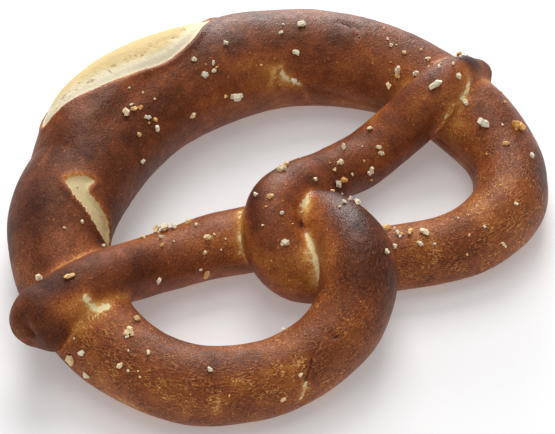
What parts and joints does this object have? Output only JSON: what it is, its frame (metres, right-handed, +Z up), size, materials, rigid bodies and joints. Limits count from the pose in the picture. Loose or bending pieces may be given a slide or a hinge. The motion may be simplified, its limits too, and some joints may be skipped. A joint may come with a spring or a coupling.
{
  "type": "soft pretzel",
  "caption": "Salted soft pretzel: one rope of lye dough, thick in the belly, thin in the twisted arms, its tips pressed on the shoulders, with a pale burst along the belly.",
  "frame": {"origin": "middle of the pretzel's outline, on the flat underside that it rests on", "axes": "+X across from the left tip to the right tip, +Y from the loops to the belly, +Z up out of the salted top"},
  "size_m": [0.1733, 0.1333, 0.0313],
  "materials": {
    "crust": "lye-baked crust, mahogany brown with a soft shine, golden at the creases and pale cream where it has burst",
    "salt": "coarse, dull, off-white baked salt grains"
  },
  "bodies": {
    "root": {"pretzel": "crust"}
  },
  "joints": []
}
